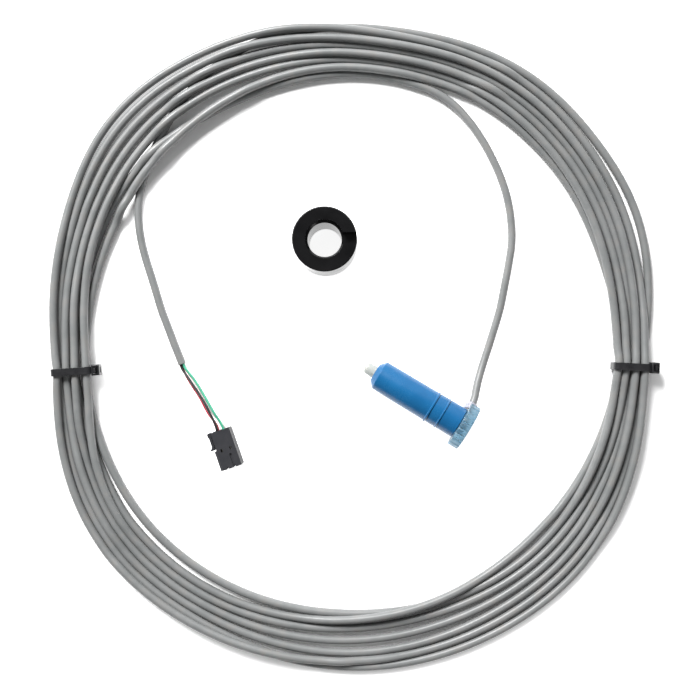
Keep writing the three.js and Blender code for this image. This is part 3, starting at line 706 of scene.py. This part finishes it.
def headShape(tie, end):
    wide, deep, tall = tie["head"]
    side = math.copysign(1, end)
    x = end + side * (tie["strap"] + wide) / 2
    shape = blockOf((wide, deep, tall), (x, 0, tie["headTop"] - tall / 2))
    rounded(shape, shape.edges, tie["headEdge"], 3)
    pocket = blockOf(tie["pocket"], (x + side * tie["pocketOut"], 0, tie["headTop"]))
    relief = blockOf(tie["relief"], (x + side * wide / 2, 0, tie["headTop"] - tall * tie["reliefDown"]))
    return carved(shape, [pocket, relief]), x


def tailShape(tie, x):
    # the cut end of the strap with its ratchet teeth
    wide, thick = tie["tail"]
    low, high = tie["headTop"] + tie["tailFrom"], tie["headTop"] + tie["tailTo"]
    back, root, crest = x - thick * 0.5, x + thick * 0.22, x + thick * 0.5
    outline = [(back, low), (back, high), (x + thick * 0.35, high)]
    for tooth in range(int((high - low) / tie["tooth"])):
        z = high - tooth * tie["tooth"]
        outline += [(crest, z - tie["tooth"] * 0.8), (root, z - tie["tooth"])]
    outline.append((root, low))
    shape = bmesh.new()
    face = shape.faces.new([shape.verts.new((px * mm, -wide * mm / 2, pz * mm)) for px, pz in outline])
    carried(shape, bmesh.ops.extrude_face_region(shape, geom=[face]), (0, wide, 0))
    return shape


def joined(*shapes):
    whole = shapes[0]
    for shape in shapes[1:]:
        mesh = bpy.data.meshes.new("part")
        shape.to_mesh(mesh)
        shape.free()
        whole.from_mesh(mesh)
        bpy.data.meshes.remove(mesh)
    return whole


def makeTie(tie, number, name, headEnd):
    ends = (-tie["inside"] - tie["slack"][number], tie["inside"])
    head, x = headShape(tie, ends[headEnd])
    shape = joined(strapShape(tie, ends), head, tailShape(tie, x))
    turned = math.radians(hoop["tieAngles"][number])
    middle = fromBench(hoop["centre"][0] + hoop["tieRadius"] * math.cos(turned),
                       hoop["centre"][1] + hoop["tieRadius"] * math.sin(turned), 0)
    moved(shape, Matrix.Translation(middle) @ Matrix.Rotation(turned, 4, "Z"))
    return piece(name + "_piece", ready(shape), "tie", "tie_nylon", stands=(name,), bevel=0.12)


makeTie(tieMade, 0, "cable_tie_right", 1)
makeTie(tieMade, 1, "cable_tie_left", 0)
print("ties made")

# connector: housing, rocker latch and the four contacts inside

contacts = [("terminal_" + colour, "lead", "lead_metal", "root", 0.06) for colour, *_ in conductors]
for node, finish, slot, body, edge in (
    ("connector_housing", "connector", "connector_nylon", "root", 0.22),
    ("connector_latch", "connector", "connector_nylon", "latch", 0.25),
    *contacts,
):
    piece(node + "_piece", ready(copyOf(node)), finish, slot, body, (node,), edge)
print("connector made")

# the probe, in its own frame

barrel = {
    "nose": 4.7, "chamfer": 2.6, "front": 7.6, "rear": 7.8, "length": 48.0, "wall": 1.4, "noseWall": 2.0,
    "tipHole": 3.4, "edge": 0.2, "wayOut": 14,  # how far the cable's cut reaches through the wall
    "ribs": ((32.4, 8.25, 1.1), (38.5, 8.1, 0.9)),  # place, radius, width
    "ribSlope": (0.22, 0.4),  # where a rib's front corner starts and ends
    "undercut": 0.22,  # the small groove behind each rib
    "undercutTo": (0.3, 0.42),
}


def barrelShape(made):
    def skin(at):
        return made["front"] + (made["rear"] - made["front"]) * at / made["length"]

    front, edge = made["front"], made["edge"]
    outside = [(made["nose"], 0), (front - edge / 4, made["chamfer"]), (front, made["chamfer"] + edge * 1.25)]
    for at, radius, width in made["ribs"]:
        start, stop = at - width / 2, at + width / 2
        low, high = made["ribSlope"]
        flat, rise = made["undercutTo"]
        groove = skin(stop) - made["undercut"]
        outside += [
            (skin(start), start), (radius - 0.12, start + low), (radius, start + high),
            (radius, stop - edge), (radius - edge / 2, stop - edge / 4),
            (groove, stop), (groove, stop + flat), (skin(stop), stop + rise),
        ]
    outside += [(made["rear"], made["length"] - edge), (made["rear"] - edge, made["length"])]
    inner = front - made["wall"]
    return spun([
        (made["tipHole"], 0), *outside, (inner, made["length"]), (inner, made["noseWall"]),
        (made["tipHole"], made["noseWall"]),
    ], 128)


cap = {
    "flangeFrom": 48.3, "thick": 5.1, "radius": 11.5, "flutes": 22, "fluteDepth": 0.4, "rim": 0.3,
    "spigot": 6.0, "spigotLength": 8.0, "lead": (0.4, 0.6),  # the spigot's small lead-in
    "grooveAt": 4.2, "grooveHalf": 0.8, "grooveDeep": 0.9,
    "hollow": 4.7, "hollowEdge": 0.6, "backWall": 1.3,
    "bore": 2.3, "gland": 3.1, "glandRoom": 0.3, "glandEdge": 0.5,
    "stepsPerFlute": 12,
}


def ontoOutlet(shape, reach):
    turn = Vector((0, 0, 1)).rotation_difference(outletWay).to_matrix().to_4x4()
    spot = Vector((0, 0, outlet["from"])) * mm + outletWay * reach * mm
    return moved(shape, Matrix.Translation(spot) @ turn)


def outletBore(radius, start, length):
    shape = bmesh.new()
    bmesh.ops.create_cone(shape, cap_ends=True, segments=48, radius1=radius * mm, radius2=radius * mm,
                          depth=length * mm)
    return ontoOutlet(shape, start + length / 2)


def flangeShape(made):
    shape = bmesh.new()
    bmesh.ops.create_circle(shape, cap_ends=True, radius=made["radius"] * mm,
                            segments=made["flutes"] * made["stepsPerFlute"])
    for vert in shape.verts:
        around = math.atan2(vert.co.y, vert.co.x) * made["flutes"]
        vert.co *= 1 - made["fluteDepth"] / made["radius"] * max(0, math.cos(around)) ** 3
    carried(shape, bmesh.ops.extrude_face_region(shape, geom=shape.faces[:]), (0, 0, made["thick"]))
    bmesh.ops.translate(shape, vec=(0, 0, made["flangeFrom"] * mm), verts=shape.verts)
    ready(shape)
    rims = [edge for edge in shape.edges if len(edge.link_faces) == 2 and edge.calc_face_angle() > 1.2]
    rounded(shape, rims, made["rim"], 2)
    return shape


def capShape(made):
    # the fluted flange, then its spigot, then the room inside and the cable's way out
    start, seat = made["flangeFrom"] - made["spigotLength"], made["flangeFrom"] + 1
    groove, half = made["flangeFrom"] - made["grooveAt"], made["grooveHalf"]
    radius, inset = made["spigot"], made["spigot"] - made["grooveDeep"]
    back, up = made["lead"]
    spigot = spun([
        (0, start), (radius - back, start), (radius, start + up), (radius, groove - half),
        (inset, groove - half), (inset, groove + half), (radius, groove + half), (radius, seat), (0, seat),
    ])
    end, edge = made["flangeFrom"] + made["thick"] - made["backWall"], made["hollowEdge"]
    hollow = spun([
        (0, start - 1), (made["hollow"], start - 1), (made["hollow"], end - edge),
        (made["hollow"] - edge, end), (0, end),
    ])
    wayOut = outletBore(made["bore"], 0, made["radius"] + 3)
    glandSeat = outletBore(made["gland"] + made["glandRoom"], outlet["glandFrom"] - made["glandRoom"], 6)
    whole = carved(ready(flangeShape(made)), [ready(spigot)], "UNION")
    return carved(whole, [ready(hollow), wayOut, glandSeat])


def glandShape(made):
    tall, edge = outlet["glandTo"] - outlet["glandFrom"], made["glandEdge"]
    bush = spun([
        (made["bore"], 0), (made["gland"], 0), (made["gland"], tall - edge), (made["gland"] - edge, tall),
        (made["bore"], tall),
    ], 64)
    return ontoOutlet(bush, outlet["glandFrom"])


tip = {
    "radius": 3.1, "reach": 6.0, "domeRise": 1.77, "domeWidth": 0.95, "neckFrom": -1.0,
    "shoulder": 5.9, "shoulderFrom": 3.3, "shoulderThick": 1.6,
}


def tipShape(made):
    dome = []
    for step in range(13):
        lean = math.pi / 2 * step / 12
        rise = made["domeRise"] * (1 - math.cos(lean))
        dome.append((made["radius"] * made["domeWidth"] * math.sin(lean), rise - made["reach"]))
    top = made["shoulderFrom"] + made["shoulderThick"]
    rest = [(made["radius"], made["neckFrom"]), (made["radius"], made["shoulderFrom"]),
            (made["shoulder"], made["shoulderFrom"]), (made["shoulder"], top), (0, top)]
    return spun(dome + rest)


def ringShape(radius, wire, at):
    shape = bmesh.new()
    upright = Matrix.Translation((radius * mm, 0, at * mm)) @ Matrix.Rotation(math.pi / 2, 4, "X")
    bmesh.ops.create_circle(shape, radius=wire * mm, segments=20, matrix=upright)
    bmesh.ops.spin(shape, geom=shape.verts[:] + shape.edges[:], axis=(0, 0, 1), cent=(0, 0, 0),
                   angle=2 * math.pi, steps=72, use_merge=True)
    return shape


def washer(inner, outer, start, stop, edge=0.25):
    outside = [(outer - edge, start), (outer, start + edge), (outer, stop - edge), (outer - edge, stop)]
    return spun([(inner, start), *outside, (inner, stop)])


shell = carved(ready(barrelShape(barrel)), [outletBore(cap["bore"], 0, barrel["wayOut"])])
for name, shape, finish, slot, node, edge in (
    ("probe_shell", shell, "barrel", "barrel_plastic", "probe_barrel", 0.1),
    ("tip_dome", tipShape(tip), "tip", "clear_plastic", "acoustic_tip", 0.1),
    ("cap_flange", capShape(cap), "clear", "clear_plastic", "end_cap", None),
    ("cable_bush", glandShape(cap), "bush", "clear_bush", "cable_gland", 0.1),
    ("tip_ring", ringShape(4.5, 0.45, 2.65), "rubber", "seal_rubber", "tip_seal", None),
    ("cap_ring", ringShape(5.64, 0.4, 44.1), "rubber", "seal_rubber", "end_cap_seal", None),
    ("piezo_element", washer(0, 4.6, 5.2, 6.4, 0.1), "ceramic", "piezo_ceramic", "piezo_disc", None),
    ("damping_puck", washer(0, 4.0, 7.3, 12.3), "rubber", "seal_rubber", "backing_puck", None),
    ("centring_sleeve", washer(5.2, 6.0, 5.2, 12.2), "rubber", "seal_rubber", "transducer_sleeve", None),
):
    piece(name, ready(moved(shape, probeFrame)), finish, slot, stands=(node,), bevel=edge)

for node, finish, slot, edge in (
    ("circuit_board", "board", "board_laminate", 0.08),
    ("driver_chip", "chip", "chip_resin", 0.1),
    ("receiver_chip", "chip", "chip_resin", 0.1),
    ("step_up_transformer", "chip", "chip_resin", 0.2),
    ("capacitor_a", "can", "capacitor_case", 0.15),
    ("capacitor_b", "can", "capacitor_case", 0.15),
):
    piece(node + "_piece", ready(copyOf(node)), finish, slot, stands=(node,), bevel=edge)

# the leads of the piezo, and the conductors between the cable and the board, in the probe's millimetres

inside = {
    "boardRear": 37.2,
    "pads": (-3.6, 2.4),  # where the first conductor meets the board, and the next ones beside it
    "padTop": 1.3,
    "fan": (-2.9, 1.6),  # the same where they leave the board
    "lead": 0.6,
    "wire": 1.0,
    "apart": 0.7,
}
piezoLead = [(4.3, 0, 6.65), (4.6, 0.2, 8.8), (4.6, 0.4, 12.3), (4.2, 1.2, 14.5), (3.9, 1.15, 16.4)]


def leadRoutes(made):
    for name, side in (("piezo_lead_a", 1), ("piezo_lead_b", -1)):
        route = [Vector((side * x, y, z)) for x, y, z in piezoLead]
        yield name, route, made["lead"], "lead", "lead_metal"
    rear, top, apart = made["boardRear"], made["padTop"], made["apart"]
    across = Vector((-outletWay.y, outletWay.x, 0))
    for index, (colour, *_) in enumerate(conductors):
        far, upper = index < 2, index % 2 == 1
        pad, fan = (first + step * index for first, step in (made["pads"], made["fan"]))
        end = Vector((0, 0, outlet["from"])) + outletWay * (outlet["jacketEnd"] - 0.35)
        end += across * (apart if upper else -apart) + Vector((0, 0, apart if far else -apart))
        turnIn = end - outletWay * (3.0 if far else 2.1) - Vector((0, 0, 0.5))
        rise = Vector((-3.0 if far else -0.8, 1.25 if upper else -0.45, rear + 8.6))
        route = [Vector((pad, top, rear - 2.4)), Vector((pad, top, rear + 0.6)),
                 Vector((fan, top, rear + 4.5)), rise, turnIn, end]
        yield "inner_wire_" + colour, route, made["wire"], colour, "wire_" + colour


for node, route, thick, finish, slot in leadRoutes(inside):
    curve = cordCurve(node + "_lead", [probeFrame @ (spot * mm) for spot in route], thick, 3, 8)
    shown(curve, finish, slot, stands=(node,))
print("probe made")

# the loose mounting collar

collar = {
    "radius": 15.5, "height": 27.0, "bore": 8.15, "counterbore": 9.2, "deep": 3.6, "lip": 0.6, "edge": 0.5,
    "groove": (5.4, 4.6, 0.5),  # wide, deep, beside the middle
}


def collarShape(made):
    tall, step = made["height"], made["height"] - made["deep"]
    rim = made["radius"] - made["edge"]
    body = spun([
        (made["bore"], 0), (rim, 0), (made["radius"], made["edge"]), (made["radius"], tall - made["edge"]),
        (rim, tall), (made["counterbore"], tall), (made["counterbore"], step),
        (made["bore"], step - made["lip"]),
    ], 160)
    wide, deep, beside = made["groove"]
    channel = blockOf((2 * made["radius"], wide, 2 * deep), (made["radius"], beside, tall))
    shape = carved(ready(body), [channel])
    place = centreOf("mounting_collar")
    return moved(shape, Matrix.Translation((place.x, place.y, 0)))


collarBody = ready(collarShape(collar))
piece("collar_ring", collarBody, "collar", "collar_plastic", "collar", ("mounting_collar",), 0.25, 3)
print("collar made")


def makeFloor(light):
    shape = bmesh.new()
    bmesh.ops.create_grid(shape, x_segments=2, y_segments=2, size=light["floorSide"] / 2)
    mesh = bpy.data.meshes.new("floor")
    shape.to_mesh(mesh)
    shape.free()
    mesh.materials.append(floorFinish(light).material)
    made = bpy.data.objects.new("floor", mesh)
    bpy.context.scene.collection.objects.link(made)


makeFloor(studio)
print("floor made")

# the gland's end, the jacket's end and each contact piece's name, worked out and left unused

alongOutlet(outlet["glandTo"])
jacketEnd = fromBench(*plugLead[-1])
for colour, (wire, length) in wires.items():
    "terminal_" + colour + "_piece"
